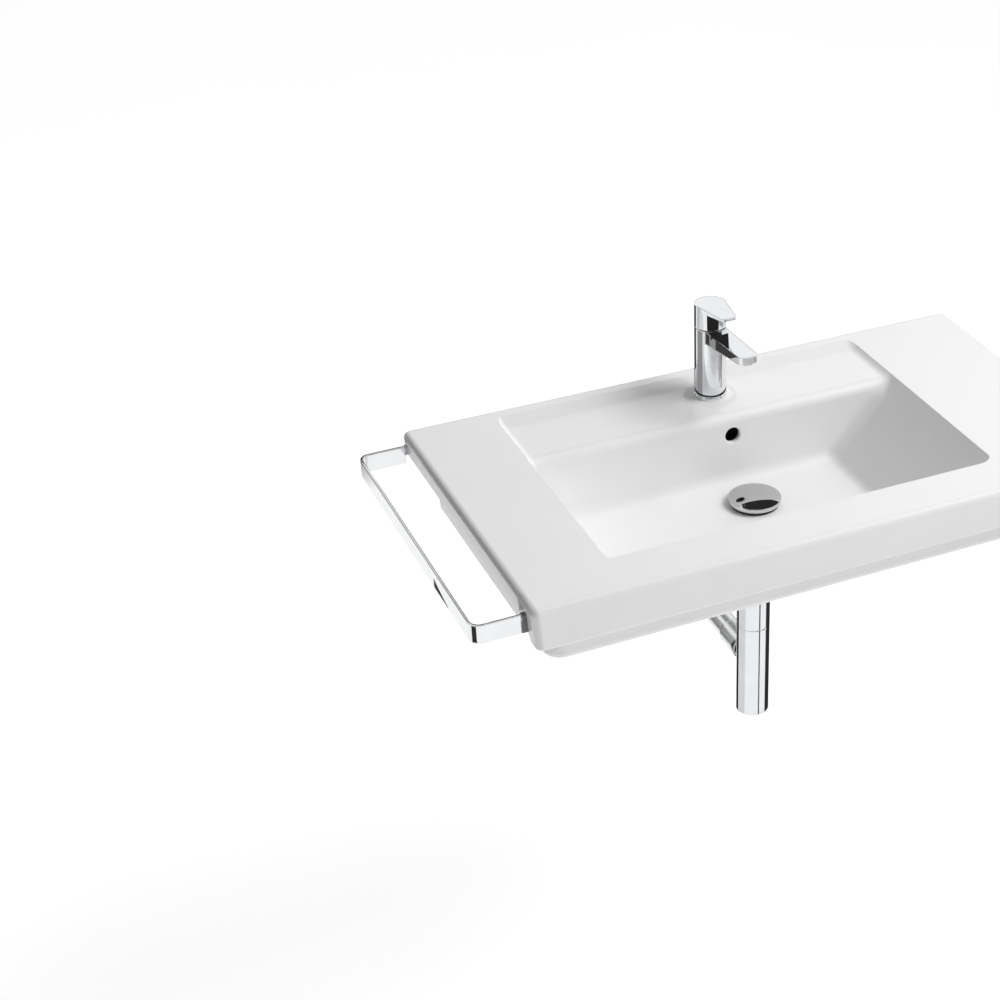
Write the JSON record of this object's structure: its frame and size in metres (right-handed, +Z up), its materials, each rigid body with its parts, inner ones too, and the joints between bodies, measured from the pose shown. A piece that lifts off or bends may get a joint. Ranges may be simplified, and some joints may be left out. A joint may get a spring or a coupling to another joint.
{
  "type": "washbasin",
  "caption": "Wall-hung rectangular washbasin with side shelves, lever mixer tap, push waste, bottle trap with wall arm, and a flat-bar towel rail at its left end.",
  "frame": {"origin": "on the wall face, midway between the wall fixing holes, in line with the tap and the drain", "axes": "+X to the right as seen by the user, +Y into the wall, +Z up"},
  "size_m": [0.8703, 0.495, 0.5638],
  "materials": {
    "glazed": "gloss",
    "chrome": "polished",
    "brass": "satin",
    "steel": "satin",
    "rubber": "matte",
    "grey_plastic": "matte",
    "white_plastic": "satin",
    "disc_ceramic": "polished"
  },
  "bodies": {
    "base": {"basin": "glazed", "tap_body": "chrome", "tap_base_ring": "chrome", "aerator_housing": "chrome", "waste_body": "chrome", "trap_inlet_nut": "chrome", "trap_upper_sleeve": "chrome", "trap_body": "chrome", "trap_plug": "chrome", "outlet_nut": "chrome", "outlet_pipe": "chrome", "wall_rosette": "chrome", "towel_rail": "chrome", "tap_clamp_nut": "brass", "cartridge_nut": "brass", "waste_nut": "brass", "trap_dip_tube": "brass", "tap_stud": "steel", "tap_clamp_plate": "steel", "plug_spring": "steel", "rail_studs": "steel", "tap_base_seal": "rubber", "tap_clamp_gasket": "rubber", "cartridge_seals": "rubber", "aerator_washer": "rubber", "flange_seal": "rubber", "lower_seal": "rubber", "trap_inlet_seal": "rubber", "trap_neck_seal": "rubber", "trap_plug_seal": "rubber", "outlet_seal": "rubber", "rail_pads": "grey_plastic", "fixing_bushes": "grey_plastic", "cartridge_base": "white_plastic", "cartridge_housing": "white_plastic", "aerator_insert": "white_plastic", "stem_guide": "white_plastic", "rail_plugs": "white_plastic", "fixed_disc": "disc_ceramic"},
    "swivel": {"swivel_guide": "white_plastic", "pivot_pin": "steel"},
    "lever": {"spindle": "steel", "lever_handle": "chrome", "lever_grub_screw": "steel", "lever_screw_cap": "chrome"},
    "disc": {"disc_carrier": "white_plastic", "moving_disc": "disc_ceramic"},
    "plug": {"waste_cover": "chrome", "cover_seal": "rubber", "plug_stem": "brass"}
  },
  "joints": [
    {"name": "lever_swivel", "type": "hinge", "parent": "base", "child": "swivel", "pos_m": [0, -0.0735, 0.1503], "axis": [0, 0, 1], "range_deg": [-50, 50]},
    {"name": "lever_lift", "type": "hinge", "parent": "swivel", "child": "lever", "pos_m": [0, -0.0685, 0.1503], "axis": [-1, 0, 0], "range_deg": [0, 20]},
    {"name": "disc_slide", "type": "slide", "parent": "swivel", "child": "disc", "axis": [0, -1, 0], "range_m": [0, 0.0052]},
    {"name": "cover_push", "type": "slide", "parent": "base", "child": "plug", "axis": [0, 0, 1], "range_m": [-0.0042, 0], "stiffness_N_per_m": 300, "springref_m": 0.01, "deforming": ["plug_spring"]}
  ],
  "couplings": [
    {"joint": "disc_slide", "follows": "lever_lift", "m_per_rad": 0.0146}
  ]
}
